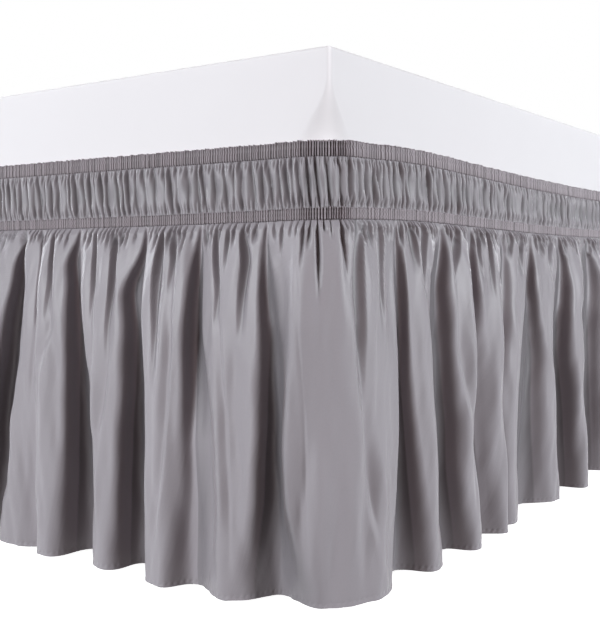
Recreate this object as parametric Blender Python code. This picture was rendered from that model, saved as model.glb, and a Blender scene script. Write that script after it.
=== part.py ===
"""A gathered bed skirt, stretched round a plain box spring on four legs.

Metres, +Z up. The bed's length runs along Y, its foot end faces -Y, and the origin is on the floor under the
middle of the bed. The skirt is described along the bed's walls. A station is the distance along them: 0 is
the corner at +X -Y, positive stations go up the +X wall, and negative ones go back along the foot wall. Reach
is how far a point stands outside the wall. A fold runs from a valley, out over its crest, to the next valley.
"""

import math
import random

import bmesh
import bpy
import numpy as np
from mathutils import Vector

# The bed: a single box spring, 9 in thick, with its top 490 mm above the floor
BED_WIDTH = 0.990
BED_LENGTH = 1.905
BED_TOP = 0.490
BED_THICKNESS = 0.228
CORNER_RADIUS = 0.032
EDGE_BEVEL = 0.005
SQUARE_RADIUS = 0.007
PRESSED_TOP = 0.424
LEG_SIDE = 0.060
LEG_INSET = 0.075
LEG_BEVEL = 0.004
BED_BOTTOM = BED_TOP - BED_THICKNESS

# The skirt: 16 in from its top edge to its hem, in four strips one above the other
SKIRT_HEIGHT = 0.406
HEM_HEIGHT = 0.006
UPPER_BAND_HEIGHT = 0.0135
HEADING_HEIGHT = 0.0440
LOWER_BAND_HEIGHT = 0.0105
SEAM_GAP = 0.0003
SKIRT_TOP = HEM_HEIGHT + SKIRT_HEIGHT
HEADING_TOP = SKIRT_TOP - UPPER_BAND_HEIGHT - SEAM_GAP
LOWER_BAND_TOP = HEADING_TOP - HEADING_HEIGHT - SEAM_GAP
DROP_TOP = LOWER_BAND_TOP - LOWER_BAND_HEIGHT - SEAM_GAP
DROP_HEIGHT = DROP_TOP - HEM_HEIGHT

# How the strips stand off the bed
BAND_CLEARANCE = 0.0005
BAND_THICKNESS = 0.0033
BAND_CHAMFER = 0.0008
ARC_STEPS = 4  # on each half of a rounded corner
CLOTH_CLEARANCE = 0.0020
DROP_THICKNESS = 0.0020
HEADING_THICKNESS = 0.0016
HEADING_CLEARANCE = 0.0020
PUFF_COUNT = 160
PUFF_DEPTH = 0.0055
PUFF_EDGE_DEPTH = 0.0006

# The folds of the drop
CREST_GROWTH = 0.150  # how far under the band a crest has come all the way out
CREST_ROUNDNESS = 2.2  # 1 is a straight slope out, and more is a rounder shoulder
VALLEY_SINK_START = DROP_TOP - BED_BOTTOM + 0.004  # the valleys hang straight until they are past the bed
SLANT = 0.014  # the most that a hidden fold leans either way, from the band to the hem
HEM_CORNER_RADIUS = 0.080  # the folds cut across the bed's corner at the hem
MOST_REACH = 0.033
DROP_ROWS = (0.0, 0.080, 0.235, 0.480, 1.0)  # shares of the drop, from its top edge
FINE_STEPS = (20, 70, 110, 160)  # degrees along half a fold, on the folds listed by hand
PLAIN_STEPS = (25, 90, 155)

# Folds round the corner at +X -Y, with the stations of each valley and crest under the band and at the hem
# (valley at band, valley at hem, valley's reach at hem, crest at band, crest at hem, crest's reach at hem)
CORNER_FOLDS = (
    (-0.395, -0.440, -0.010, -0.368, -0.406, 0.025),
    (-0.345, -0.362, -0.002, -0.327, -0.333, 0.031),
    (-0.308, -0.287, -0.016, -0.256, -0.249, 0.028),
    (-0.210, -0.210, -0.014, -0.176, -0.172, 0.028),
    (-0.140, -0.135, -0.008, -0.100, -0.106, 0.020),
    (-0.064, -0.052, -0.020, 0.015, 0.066, 0.016),
    (0.100, 0.112, -0.014, 0.150, 0.171, 0.020),
    (0.192, 0.207, -0.012, 0.228, 0.254, 0.024),
    (0.257, 0.288, -0.008, 0.305, 0.330, 0.023),
    (0.345, 0.362, -0.005, 0.386, 0.398, 0.010),
    (0.429, 0.436, -0.015, 0.475, 0.497, 0.021),
    (0.520, 0.545, -0.014, 0.570, 0.594, 0.027),
    (0.617, 0.640, -0.012, 0.662, 0.690, 0.022),
)
NEXT_VALLEY = 0.735
NEXT_SLANT = -0.022
SLANT_EASING = 0.40
HIDDEN_FOLD_COUNT = 55

# How far the elastic bands ride above or below their level, with straight runs between
# (station, upper band, lower band)
BAND_LIFTS = (
    (-0.60, 0.0000, 0.0000),
    (-0.43, 0.0012, 0.0000),
    (-0.20, 0.0005, 0.0005),
    (-0.08, 0.0001, 0.0014),
    (0.00, 0.0005, 0.0027),
    (0.06, 0.0020, 0.0042),
    (0.11, 0.0038, 0.0052),
    (0.16, 0.0042, 0.0054),
    (0.21, 0.0032, 0.0048),
    (0.30, 0.0006, 0.0028),
    (0.42, -0.0023, 0.0004),
    (0.56, -0.0042, -0.0010),
    (0.72, -0.0048, -0.0010),
    (1.10, 0.0000, 0.0000),
)

CLOTH_GREY = (0.40, 0.385, 0.41)
BED_WHITE = (0.84, 0.85, 0.87)
LEG_GREY = (0.10, 0.10, 0.10)

# Each wall: its length, its first corner, the way along it and the way out of it
HALF_WIDTH = BED_WIDTH / 2
HALF_LENGTH = BED_LENGTH / 2
WALLS = (
    (BED_LENGTH, Vector((HALF_WIDTH, -HALF_LENGTH)), Vector((0, 1)), Vector((1, 0))),
    (BED_WIDTH, Vector((HALF_WIDTH, HALF_LENGTH)), Vector((-1, 0)), Vector((0, 1))),
    (BED_LENGTH, Vector((-HALF_WIDTH, HALF_LENGTH)), Vector((0, -1)), Vector((-1, 0))),
    (BED_WIDTH, Vector((-HALF_WIDTH, -HALF_LENGTH)), Vector((1, 0)), Vector((0, -1))),
)
PERIMETER = 2 * (BED_WIDTH + BED_LENGTH)


def clear_scene():
    for thing in list(bpy.data.objects):
        bpy.data.objects.remove(thing, do_unlink=True)


def material(name, colour, roughness):
    made = bpy.data.materials.new(name)
    made.use_nodes = True
    shader = made.node_tree.nodes["Principled BSDF"]
    shader.inputs["Base Color"].default_value = (*colour, 1.0)
    shader.inputs["Roughness"].default_value = roughness
    shader.inputs["Metallic"].default_value = 0.0
    return made


def add_object(name, mesh, look):
    made = bpy.data.objects.new(name, mesh)
    mesh.materials.append(look)
    bpy.context.scene.collection.objects.link(made)
    return made


def smoothstep(share):
    share = min(max(share, 0.0), 1.0)
    return share * share * (3 - 2 * share)


# --- Places along the walls -------------------------------------------------------------------------------


def wall_point(station, radius, reach):
    """The plan point at a station, where the bed's corners are rounded to a radius. On a rounded corner the
    stations are spread evenly over its arc, so that those on the flat walls stay true distances."""
    station %= PERIMETER
    for length, corner, along, out in WALLS:
        if station <= length:
            break
        station -= length
    if station < radius:
        centre = corner + (along - out) * radius
        angle = math.radians(45) * (1 - station / radius)
        return centre + (out * math.cos(angle) - along * math.sin(angle)) * (radius + reach)
    if station > length - radius:
        centre = corner + along * (length - radius) - out * radius
        angle = math.radians(45) * (1 - (length - station) / radius)
        return centre + (out * math.cos(angle) + along * math.sin(angle)) * (radius + reach)
    return corner + along * station + out * reach


def band_lift(station, column):
    """How far a band rides above its level here: column 1 is the upper band's, column 2 the lower band's."""
    station = (station + PERIMETER / 2) % PERIMETER - PERIMETER / 2
    return float(np.interp(station, [row[0] for row in BAND_LIFTS], [row[column] for row in BAND_LIFTS]))


def band_stations():
    """Stations for a plain band: round each corner, and wherever its lift changes."""
    found = {row[0] % PERIMETER for row in BAND_LIFTS}
    start = 0.0
    for length, *_ in WALLS:
        for step in range(ARC_STEPS + 1):
            end = CORNER_RADIUS * step / ARC_STEPS
            found |= {start + end, (start + length - end) % PERIMETER}
        start += length
    return sorted(found)


# --- Meshes -----------------------------------------------------------------------------------------------


def ring_mesh(name, columns):
    """A closed ring from the columns of points round its section. Both long faces of a thin strip are cut
    into triangles the same way, from the upper left to the lower right, so that they stay parallel."""
    count = len(columns[0])
    points = [point for column in columns for point in column]
    faces = []
    for here in range(len(columns)):
        following = (here + 1) % len(columns)
        for row in range(count):
            below = (row + 1) % count
            a, b = here * count + row, here * count + below
            c, d = following * count + below, following * count + row
            falls = columns[here][row].z > columns[here][below].z
            faces += [(a, b, c), (a, c, d)] if falls else [(a, b, d), (b, c, d)]
    mesh = bpy.data.meshes.new(name)
    mesh.from_pydata(points, [], faces)
    shell = bmesh.new()
    shell.from_mesh(mesh)
    bmesh.ops.recalc_face_normals(shell, faces=shell.faces)
    shell.to_mesh(mesh)
    shell.free()
    mesh.shade_smooth()
    mesh.set_sharp_from_angle(angle=math.radians(65))
    return mesh


def beside(outline, distance):
    """A closed plan outline moved outwards by a distance, with its corners mitred."""
    moved = []
    for before, point, after in zip(outline[-1:] + outline[:-1], outline, outline[1:] + outline[:1]):
        first = (point - before).normalized()
        second = (after - point).normalized()
        first_out = Vector((first.y, -first.x))
        second_out = Vector((second.y, -second.x))
        moved.append(point + (first_out + second_out) * distance / (1 + first_out.dot(second_out)))
    return moved


def sheet_mesh(name, outlines, heights, thickness):
    """A strip of cloth with a thickness, from its plan outline and its heights at each row, top row first."""
    outer = [beside(outline, thickness / 2) for outline in outlines]
    inner = [beside(outline, -thickness / 2) for outline in outlines]
    columns = []
    for place in range(len(outlines[0])):
        front = [Vector((*line[place], high[place])) for line, high in zip(outer, heights)]
        back = [Vector((*line[place], high[place])) for line, high in zip(inner, heights)]
        columns.append(front + back[::-1])
    return ring_mesh(name, columns)


# --- The folds of the drop --------------------------------------------------------------------------------

# Half a fold is a curve whose heading swings out to a steepness and back, as the angle of a sine does. The
# steeper the swing, the deeper the half is for its width.
SWINGS = np.linspace(0.0, 1.9, 96)
HALF_TURN = np.linspace(0.0, math.pi, 61)
HEADINGS = np.outer(SWINGS, np.sin((HALF_TURN[:-1] + HALF_TURN[1:]) / 2))
DEPTH_FOR_WIDTH = np.sin(HEADINGS).sum(axis=1) / np.cos(HEADINGS).sum(axis=1)


def half_fold(width, depth, degrees):
    """How far half a fold has come across its width and up its depth, as shares, at some of its angles."""
    swing = np.interp(abs(depth) / width, DEPTH_FOR_WIDTH, SWINGS) + 1e-6
    heading = swing * np.sin(HALF_TURN)
    across = np.concatenate(([0.0], np.cumsum(np.cos(heading[:-1]) + np.cos(heading[1:]))))
    rising = np.concatenate(([0.0], np.cumsum(np.sin(heading[:-1]) + np.sin(heading[1:]))))
    angles = np.radians(degrees)
    return (
        np.interp(angles, HALF_TURN, across / across[-1]),
        np.interp(angles, HALF_TURN, rising / rising[-1]),
    )


def hidden_folds():
    """The folds that go on round the rest of the bed, as uneven as those at the corner. The first and last of
    them take up the slant of their neighbours there. The fold nearest the middle of each wall comes out the
    furthest, and as far on each, so that the bed stays in the middle."""
    chance = random.Random(16)
    start, end = NEXT_VALLEY, PERIMETER + CORNER_FOLDS[0][1]
    end_slant = CORNER_FOLDS[0][0] - CORNER_FOLDS[0][1]
    widths = [chance.uniform(0.78, 1.22) for _ in range(HIDDEN_FOLD_COUNT)]
    folds = []
    valley = start
    for width in widths:
        width *= (end - start) / sum(widths)
        crest = valley + width * chance.uniform(0.42, 0.58)
        at_start = max(0.0, 1 - (valley - start) / SLANT_EASING)
        at_end = max(0.0, 1 - (end - valley) / SLANT_EASING)
        slant = NEXT_SLANT * at_start + end_slant * at_end
        slant += chance.uniform(-SLANT, SLANT) * (1 - at_start) * (1 - at_end)
        inward = -chance.uniform(0.006, 0.016)
        out = chance.uniform(0.018, 0.030)
        folds.append([valley + slant, valley, inward, crest + slant * 0.9, crest, out])
        valley += width
    wall_start = 0.0
    for length, *_ in WALLS:
        nearest = min(folds, key=lambda fold: abs(fold[4] - wall_start - length / 2))
        nearest[5] = MOST_REACH
        wall_start += length
    return [tuple(fold) for fold in folds]


def fold_turns():
    """Every valley and crest in order round the bed: its station under the band and at the hem, its reach at
    the hem, whether it is a crest, and the steps of the half fold that follows it."""
    turns = []
    folds = [(fold, FINE_STEPS) for fold in CORNER_FOLDS] + [(fold, PLAIN_STEPS) for fold in hidden_folds()]
    for (valley_band, valley_hem, inward, crest_band, crest_hem, out), steps in folds:
        turns.append((valley_band, valley_hem, inward, False, steps))
        turns.append((crest_band, crest_hem, out, True, steps))
    return turns


def sink(below):
    """How far the cloth has sunk in under the bed, as a share, at a distance below the band."""
    return max(0.0, below - VALLEY_SINK_START) / (DROP_HEIGHT - VALLEY_SINK_START)


def turn_reach(reach_at_hem, is_crest, below):
    """How far a valley or crest stands out, at a distance below the band. A crest swells out soon, and a
    valley hangs down past the bed before it sinks in under it."""
    start = CLOTH_CLEARANCE + DROP_THICKNESS / 2
    if is_crest:
        shoulder = 1 - (1 - min(below / CREST_GROWTH, 1)) ** CREST_ROUNDNESS
        return start + (reach_at_hem - start) * shoulder
    return start + (reach_at_hem - start) * sink(below)


def drop_outline(turns, share):
    """The plan outline of the drop at a share of its height below the band, and the station of each point."""
    below = DROP_HEIGHT * share
    radius = CORNER_RADIUS + (HEM_CORNER_RADIUS - CORNER_RADIUS) * sink(below)
    stations, outline = [], []
    for place, (at_band, at_hem, reach_at_hem, is_crest, steps) in enumerate(turns):
        next_band, next_hem, next_reach_at_hem, next_is_crest, _ = turns[(place + 1) % len(turns)]
        if place + 1 == len(turns):
            next_band, next_hem = next_band + PERIMETER, next_hem + PERIMETER
        first = at_band + (at_hem - at_band) * smoothstep(share)
        width = next_band + (next_hem - next_band) * smoothstep(share) - first
        reach = turn_reach(reach_at_hem, is_crest, below)
        depth = turn_reach(next_reach_at_hem, next_is_crest, below) - reach
        for across, rising in zip(*half_fold(width, depth, steps)):
            stations.append(first + width * across)
            outline.append(wall_point(stations[-1], radius, reach + depth * rising))
    return stations, outline


# --- The pieces -------------------------------------------------------------------------------------------


def make_drop(look):
    turns = fold_turns()
    outlines, heights = [], []
    for share in DROP_ROWS:
        stations, outline = drop_outline(turns, share)
        outlines.append(outline)
        heights.append([DROP_TOP - DROP_HEIGHT * share + band_lift(at, 2) * (1 - share) for at in stations])
    add_object("skirt_drop", sheet_mesh("skirt_drop", outlines, heights, DROP_THICKNESS), look)


def make_heading(look):
    """The puffed strip between the bands: pleats that are flat at both edges and stand out between them."""
    chance = random.Random(4)
    widths = [chance.uniform(0.6, 1.4) for _ in range(PUFF_COUNT)]
    start = HEADING_CLEARANCE + HEADING_THICKNESS / 2
    stations, depths = [], []
    place = 0.0
    for width in widths:
        width *= PERIMETER / sum(widths)
        stations += [place, place + width / 2]
        depths += [0.0, PUFF_DEPTH * chance.uniform(0.8, 1.15)]
        place += width
    outlines, heights = [], []
    flat = PUFF_EDGE_DEPTH / PUFF_DEPTH
    for share, swell in ((0.0, flat), (0.5, 1.0), (1.0, flat)):
        level = HEADING_TOP - HEADING_HEIGHT * share
        reaches = [start + depth * swell for depth in depths]
        outlines.append([wall_point(at, CORNER_RADIUS, reach) for at, reach in zip(stations, reaches)])
        heights.append([level + band_lift(at, 1) * (1 - share) + band_lift(at, 2) * share for at in stations])
    add_object("heading_ruffle", sheet_mesh("heading_ruffle", outlines, heights, HEADING_THICKNESS), look)


def make_band(name, top, height, column, look):
    """An elastic band: a flat strip with its outer edges taken off, which rides up and down with its lift."""
    inner, outer = BAND_CLEARANCE, BAND_CLEARANCE + BAND_THICKNESS
    section = (
        (inner, top),
        (outer - BAND_CHAMFER, top),
        (outer, top - BAND_CHAMFER),
        (outer, top - height + BAND_CHAMFER),
        (outer - BAND_CHAMFER, top - height),
        (inner, top - height),
    )
    columns = []
    for station in band_stations():
        lift = band_lift(station, column)
        column_points = []
        for reach, level in section:
            column_points.append(Vector((*wall_point(station, CORNER_RADIUS, reach), level + lift)))
        columns.append(column_points)
    add_object(name, ring_mesh(name, columns), look)


def box_mesh(name, size):
    mesh = bpy.data.meshes.new(name)
    box = bmesh.new()
    bmesh.ops.create_cube(box, size=1.0)
    bmesh.ops.scale(box, vec=size, verts=box.verts)
    box.to_mesh(mesh)
    box.free()
    return mesh


def soften(thing, width, segments):
    bevel = thing.modifiers.new("soft edges", "BEVEL")
    bevel.width = width
    bevel.segments = segments
    bevel.limit_method = "ANGLE"
    bevel.angle_limit = math.radians(40)


def make_box_spring(look):
    """A block whose upright corners are square at the top, and are pressed round where the bands grip them."""
    rings = [
        (BED_BOTTOM, CORNER_RADIUS, -EDGE_BEVEL),
        (BED_BOTTOM + EDGE_BEVEL, CORNER_RADIUS, 0.0),
        (PRESSED_TOP, CORNER_RADIUS, 0.0),
        ((PRESSED_TOP + BED_TOP) / 2, (CORNER_RADIUS + SQUARE_RADIUS) / 2 - 0.006, 0.0),
        (BED_TOP - 0.018, SQUARE_RADIUS, 0.0),
        (BED_TOP - EDGE_BEVEL, SQUARE_RADIUS, 0.0),
        (BED_TOP - 0.3 * EDGE_BEVEL, SQUARE_RADIUS, -0.3 * EDGE_BEVEL),
        (BED_TOP, SQUARE_RADIUS, -EDGE_BEVEL),
    ]
    mesh = bpy.data.meshes.new("box_spring")
    block = bmesh.new()
    rows = []
    for height, radius, reach in rings:
        row = []
        start = 0.0
        for length in (BED_LENGTH, BED_WIDTH, BED_LENGTH, BED_WIDTH):
            for step in range(-ARC_STEPS, ARC_STEPS + 1):
                place = wall_point(start + radius * step / ARC_STEPS, radius, reach)
                row.append(block.verts.new((*place, height)))
            start += length
        rows.append(row)
    for lower, upper in zip(rows, rows[1:]):
        for here in range(len(lower)):
            there = (here + 1) % len(lower)
            block.faces.new((lower[here], lower[there], upper[there], upper[here]))
    block.faces.new(rows[-1])
    block.faces.new(rows[0][::-1])
    bmesh.ops.triangulate(block, faces=[face for face in block.faces if len(face.verts) == 4])
    block.to_mesh(mesh)
    block.free()
    add_object("box_spring", mesh, look)


def make_legs(look):
    height = BED_BOTTOM - SEAM_GAP
    mesh = box_mesh("leg", (LEG_SIDE, LEG_SIDE, height))
    from_middle = LEG_INSET + LEG_SIDE / 2
    for name, side, end in (
        ("leg_foot_right", 1, -1),
        ("leg_foot_left", -1, -1),
        ("leg_head_right", 1, 1),
        ("leg_head_left", -1, 1),
    ):
        leg = bpy.data.objects.new(name, mesh)
        leg.location = (side * (HALF_WIDTH - from_middle), end * (HALF_LENGTH - from_middle), height / 2)
        bpy.context.scene.collection.objects.link(leg)
        soften(leg, LEG_BEVEL, 1)
    mesh.materials.append(look)


def main():
    clear_scene()
    cloth = material("grey microfibre", CLOTH_GREY, 0.42)
    elastic = material("gathered elastic", CLOTH_GREY, 0.60)
    make_drop(cloth)
    make_heading(cloth)
    upper_level, lower_level = 1, 2
    make_band("upper_elastic_band", SKIRT_TOP, UPPER_BAND_HEIGHT, upper_level, elastic)
    make_band("lower_elastic_band", LOWER_BAND_TOP, LOWER_BAND_HEIGHT, lower_level, elastic)
    make_box_spring(material("white cover", BED_WHITE, 0.80))
    make_legs(material("dark grey plastic", LEG_GREY, 0.50))


main()
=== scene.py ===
"""The looks of a gathered bed skirt, stretched round a white box spring.

Metres, +Z up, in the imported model's own frame. The cloth is described along the walls of the bed. A station
is the distance along them: 0 is the corner at +X -Y, positive stations go up the +X wall, and negative ones go
back along the foot wall. Reach is how far a point stands outside the wall, and depth is how far it hangs below
the band that it is gathered to.
"""

import math
import random

import bmesh
import bpy
import numpy as np
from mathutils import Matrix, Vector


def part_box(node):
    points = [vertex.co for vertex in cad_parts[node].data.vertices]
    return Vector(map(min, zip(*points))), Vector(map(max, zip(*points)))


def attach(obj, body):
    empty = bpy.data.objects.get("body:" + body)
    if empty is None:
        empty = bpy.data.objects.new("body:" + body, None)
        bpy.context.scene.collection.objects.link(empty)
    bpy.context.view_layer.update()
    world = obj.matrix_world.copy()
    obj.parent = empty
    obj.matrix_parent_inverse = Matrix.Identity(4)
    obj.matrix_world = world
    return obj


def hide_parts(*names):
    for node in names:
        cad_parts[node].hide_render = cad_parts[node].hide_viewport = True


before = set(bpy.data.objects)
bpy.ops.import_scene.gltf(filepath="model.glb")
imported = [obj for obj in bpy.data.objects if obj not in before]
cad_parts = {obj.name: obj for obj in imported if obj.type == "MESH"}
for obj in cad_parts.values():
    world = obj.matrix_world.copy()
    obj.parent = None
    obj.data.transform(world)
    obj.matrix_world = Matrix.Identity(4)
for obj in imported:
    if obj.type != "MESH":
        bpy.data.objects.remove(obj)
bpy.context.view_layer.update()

# --- Sizes, from the frame ---

BED_LOW, BED_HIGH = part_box("box_spring")
HALF_WIDTH, HALF_LENGTH, BED_TOP = BED_HIGH
BED_BOTTOM = BED_LOW[2]
PERIMETER = 4 * (HALF_WIDTH + HALF_LENGTH)
WALL_LENGTHS = (2 * HALF_LENGTH, 2 * HALF_WIDTH, 2 * HALF_LENGTH, 2 * HALF_WIDTH)
# The bed's corners are pressed round by the bands, and square again this far above them
CORNER_RADIUS = 0.032
SQUARE_RADIUS = 0.004
PRESSED_HEIGHT = 0.055
HEM_CORNER_RADIUS = 0.080

# How far the elastic bands ride above or below their level, with straight runs between
# (station, upper band, lower band)
BAND_LIFTS = np.array((
    (-0.60, 0.0000, 0.0000),
    (-0.43, 0.0012, 0.0000),
    (-0.20, 0.0005, 0.0005),
    (-0.08, 0.0001, 0.0014),
    (0.00, 0.0005, 0.0027),
    (0.06, 0.0020, 0.0042),
    (0.11, 0.0038, 0.0052),
    (0.16, 0.0042, 0.0054),
    (0.21, 0.0032, 0.0048),
    (0.30, 0.0006, 0.0028),
    (0.42, -0.0023, 0.0004),
    (0.56, -0.0042, -0.0010),
    (0.72, -0.0048, -0.0010),
    (1.10, 0.0000, 0.0000),
))
UPPER, LOWER = 1, 2
MOST_LIFT = BAND_LIFTS.max(axis=0)
LEAST_LIFT = BAND_LIFTS.min(axis=0)

SKIRT_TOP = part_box("upper_elastic_band")[1][2] - MOST_LIFT[UPPER]
UPPER_BAND_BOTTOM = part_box("upper_elastic_band")[0][2] - LEAST_LIFT[UPPER]
LOWER_BAND_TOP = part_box("lower_elastic_band")[1][2] - MOST_LIFT[LOWER]
LOWER_BAND_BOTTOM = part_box("lower_elastic_band")[0][2] - LEAST_LIFT[LOWER]
DROP_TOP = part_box("skirt_drop")[1][2] - MOST_LIFT[LOWER]
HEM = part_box("skirt_drop")[0][2]
DROP_HEIGHT = DROP_TOP - HEM

# --- The folds ---

# Reach of the valleys, and of the crests at three depths under the band, where they start to come out
VALLEY_START = 0.0014
CREST_STARTS = ((0.0, 0.0008, 0.006), (VALLEY_START + 0.0006, 0.0036, 0.0068))
CREST_GROWTH = 0.150
CREST_ROUNDNESS = 2.6
# The least width of a fold's flank, also as a share of its gap, and of half a crest
LEAST_FLANK = 0.0060
LEAST_FLANK_SHARE = 0.45
LEAST_CREST = 0.002
# The slope of a crest's crown at its edges, and its droop there
CROWN = 0.32
MOST_DROOP = 0.0042
# Flanks that turn from the corner are late: steepest near their crests, and more so the wider they are. Those
# across from them are a little early, and the one that leads to the corner's crest is even.
LATE_FLANK = 0.024
EARLY = -0.10
CORNER_FLANK = 10
# The valleys go in under the bed once they are past it
SINK_START = DROP_TOP - BED_BOTTOM + 0.004
MOST_REACH = 0.033

# Main folds round the corner at +X -Y
# (valley at band, valley at hem, valley's reach at hem, crest at band, crest at hem, crest's reach at hem)
CORNER_FOLDS = (
    (-0.395, -0.440, -0.010, -0.378, -0.406, 0.025),
    (-0.358, -0.362, -0.002, -0.334, -0.333, 0.031),
    (-0.308, -0.287, -0.016, -0.256, -0.249, 0.028),
    (-0.210, -0.210, -0.014, -0.176, -0.172, 0.028),
    (-0.140, -0.135, -0.008, -0.100, -0.106, 0.020),
    (-0.064, -0.052, -0.020, 0.015, 0.066, 0.016),
    (0.100, 0.112, -0.014, 0.150, 0.171, 0.020),
    (0.192, 0.207, -0.012, 0.228, 0.254, 0.024),
    (0.257, 0.288, -0.014, 0.305, 0.330, 0.023),
    (0.345, 0.362, -0.005, 0.386, 0.398, 0.016),
    (0.429, 0.436, -0.015, 0.475, 0.497, 0.021),
    (0.520, 0.545, -0.014, 0.570, 0.594, 0.027),
    (0.617, 0.640, -0.012, 0.662, 0.690, 0.022),
)
# The hidden folds start past them, where they lean as these do, and further on they lean by chance
NEXT_VALLEY = 0.735
NEXT_SLANT = -0.022
SLANT = 0.014
SLANT_EASING = 0.40
HIDDEN_FOLD_COUNT = 55

# The left and right edge of each of those folds' gaps between its crests, in mm, at these depths
OPENING_DEPTHS = (0.005, 0.015, 0.030, 0.060, 0.100, 0.150, 0.200, 0.250, 0.325)
CORNER_OPENINGS = (
    (-389, -382, -389, -379, -397, -376, -398, -369, -410, -371, -422, -379, -436, -389, -447, -394, -468, -415),
    (-363, -356, -360, -353, -357, -349, -356, -344, -356, -341, -362, -344, -366, -347, -370, -349, -378, -345),
    (-305, -300, -308, -297, -315, -293, -311, -283, -311, -275, -313, -268, -316, -265, -319, -264, -330, -262),
    (-212, -206, -212, -202, -216, -200, -234, -198, -229, -195, -231, -192, -236, -192, -241, -192, -248, -190),
    (-142, -136, -144, -133, -146, -131, -149, -130, -151, -128, -153, -117, -156, -107, -160, -104, -172, -111),
    (-66, -61, -69, -59, -70, -56, -69, -39, -67, -30, -68, -31, -71, -33, -76, -28, -98, 4),
    (100, 110, 96, 112, 94, 112, 91, 114, 91, 118, 92, 123, 93, 133, 91, 143, 83, 162),
    (193, 203, 183, 203, 165, 201, 151, 194, 145, 200, 147, 211, 153, 221, 161, 224, 171, 248),
    (257, 273, 246, 270, 238, 268, 231, 266, 230, 278, 232, 290, 238, 300, 246, 308, 257, 324),
    (338, 348, 333, 356, 324, 362, 309, 364, 307, 360, 309, 354, 315, 351, 320, 353, 328, 362),
    (424, 435, 421, 434, 414, 434, 398, 428, 384, 440, 374, 458, 368, 456, 367, 464, 372, 480),
    (518, 532, 512, 534, 502, 544, 483, 548, 464, 540, 465, 542, 475, 557, 484, 573, 495, 590),
    (614, 632, 600, 636, 585, 652, 563, 664, 549, 664, 556, 668, 566, 674, 575, 684, 590, 697),
)
# Where each valley stands in its gap, as a share of it from the edge away from the corner, at these depths
VALLEY_DEPTHS = (0.060, 0.120, 0.200, 0.337)
CORNER_VALLEYS = (
    (0.20, 0.22, 0.22, 0.42),
    (0.25, 0.25, 0.30, 0.50),
    (0.20, 0.24, 0.24, 0.42),
    (0.20, 0.24, 0.24, 0.42),
    (0.20, 0.25, 0.28, 0.42),
    (0.20, 0.24, 0.24, 0.42),
    (0.20, 0.22, 0.24, 0.34),
    (0.20, 0.22, 0.22, 0.34),
    (0.22, 0.45, 0.50, 0.52),
    (0.20, 0.22, 0.50, 0.70),
    (0.20, 0.22, 0.22, 0.40),
    (0.18, 0.18, 0.20, 0.34),
    (0.15, 0.16, 0.18, 0.34),
)
# How far some of those gaps are filled, by number, as a share of their depth, past the first of these depths
FILL_DEPTHS = (0.050, 0.100, 0.200, 0.337)
CORNER_FILLS = {
    1: (0.70, 0.85, 0.50),
    4: (0.0, 0.42, 0.30),
    8: (0.0, 0.15, 0.15),
    9: (0.0, 0.1, 0.1),
    10: (0.0, 0.12, 0.05),
}
NO_FILL = (0.0, 0.0, 0.0)

# Lesser gaps, which run down from the band and close: depth where each ends, strength, and its left and right
# edge at as many of these depths as it reaches, all in mm
LESSER_DEPTHS = (0.005, 0.015, 0.030, 0.060, 0.100)
LESSER_GAPS = (
    (14, 0.5, -374, -370),
    (14, 0.5, -348, -344),
    (80, 0.9, -341, -335, -338, -332, -337, -329, -332, -325),
    (14, 0.5, -326, -322),
    (18, 0.6, -318, -314),
    (16, 0.6, -294, -289),
    (80, 0.9, -279, -273, -275, -269, -273, -266, -269, -263),
    (14, 0.5, -264, -259),
    (108, 0.9, -250, -244, -249, -240, -247, -238, -245, -237, -246, -239),
    (18, 0.6, -233, -228),
    (14, 0.5, -222, -218),
    (128, 1.0, -186, -181, -186, -178, -187, -176, -187, -174, -182, -173),
    (52, 0.9, -173, -166, -172, -163, -167, -160),
    (28, 0.6, -158, -153, -158, -154),
    (14, 0.5, -149, -146),
    (82, 1.0, -121, -116, -121, -113, -120, -111, -113, -106),
    (38, 0.7, -106, -101, -105, -100, -105, -100),
    (88, 0.9, -90, -85, -89, -82, -85, -75, -86, -77),
    (16, 0.6, -77, -71),
    (26, 0.7, -48, -43, -47, -43),
    (13, 0.5, -38, -34),
    (14, 0.5, -31, -28),
    (36, 0.7, -25, -20, -24, -20, -24, -21),
    (60, 0.7, -12, -7, -11, -6, -11, -5, -10, -5),
    (14, 0.5, 1, 4),
    (42, 0.8, 10, 17, 10, 16, 12, 16),
    (16, 0.5, 22, 25),
    (140, 1.0, 29, 46, 27, 42, 23, 38, 20, 36, 21, 36),
    (22, 0.8, 51, 60, 51, 57),
    (88, 1.0, 67, 77, 65, 77, 63, 77, 60, 70),
    (18, 0.5, 84, 90),
    (42, 1.0, 122, 133, 122, 135, 121, 133),
    (64, 1.0, 147, 160, 142, 157, 138, 153, 135, 144),
    (16, 0.6, 166, 173),
    (18, 0.5, 180, 185),
    (60, 1.0, 222, 232, 212, 228, 205, 223, 198, 208),
    (16, 0.5, 240, 246),
    (50, 0.8, 276, 284, 272, 281, 268, 276),
    (20, 0.6, 281, 288),
    (64, 0.7, 296, 304, 294, 303, 291, 301, 288, 296),
    (18, 0.6, 318, 326),
    (30, 0.8, 362, 373, 360, 371, 356, 365),
    (48, 0.9, 392, 406, 386, 401, 378, 392),
    (15, 0.5, 410, 416),
    (26, 0.9, 446, 460, 449, 459),
    (20, 0.5, 468, 474),
    (48, 1.0, 484, 500, 471, 493, 464, 480),
    (20, 0.6, 538, 546),
    (15, 0.5, 553, 560),
    (24, 0.8, 570, 578, 566, 572),
    (15, 0.5, 590, 596),
    (42, 0.9, 632, 646, 628, 646, 622, 640),
    (16, 0.6, 656, 664),
    (32, 0.8, 689, 699, 691, 700, 693, 700),
    (26, 0.6, 712, 720, 713, 720),
)
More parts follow.
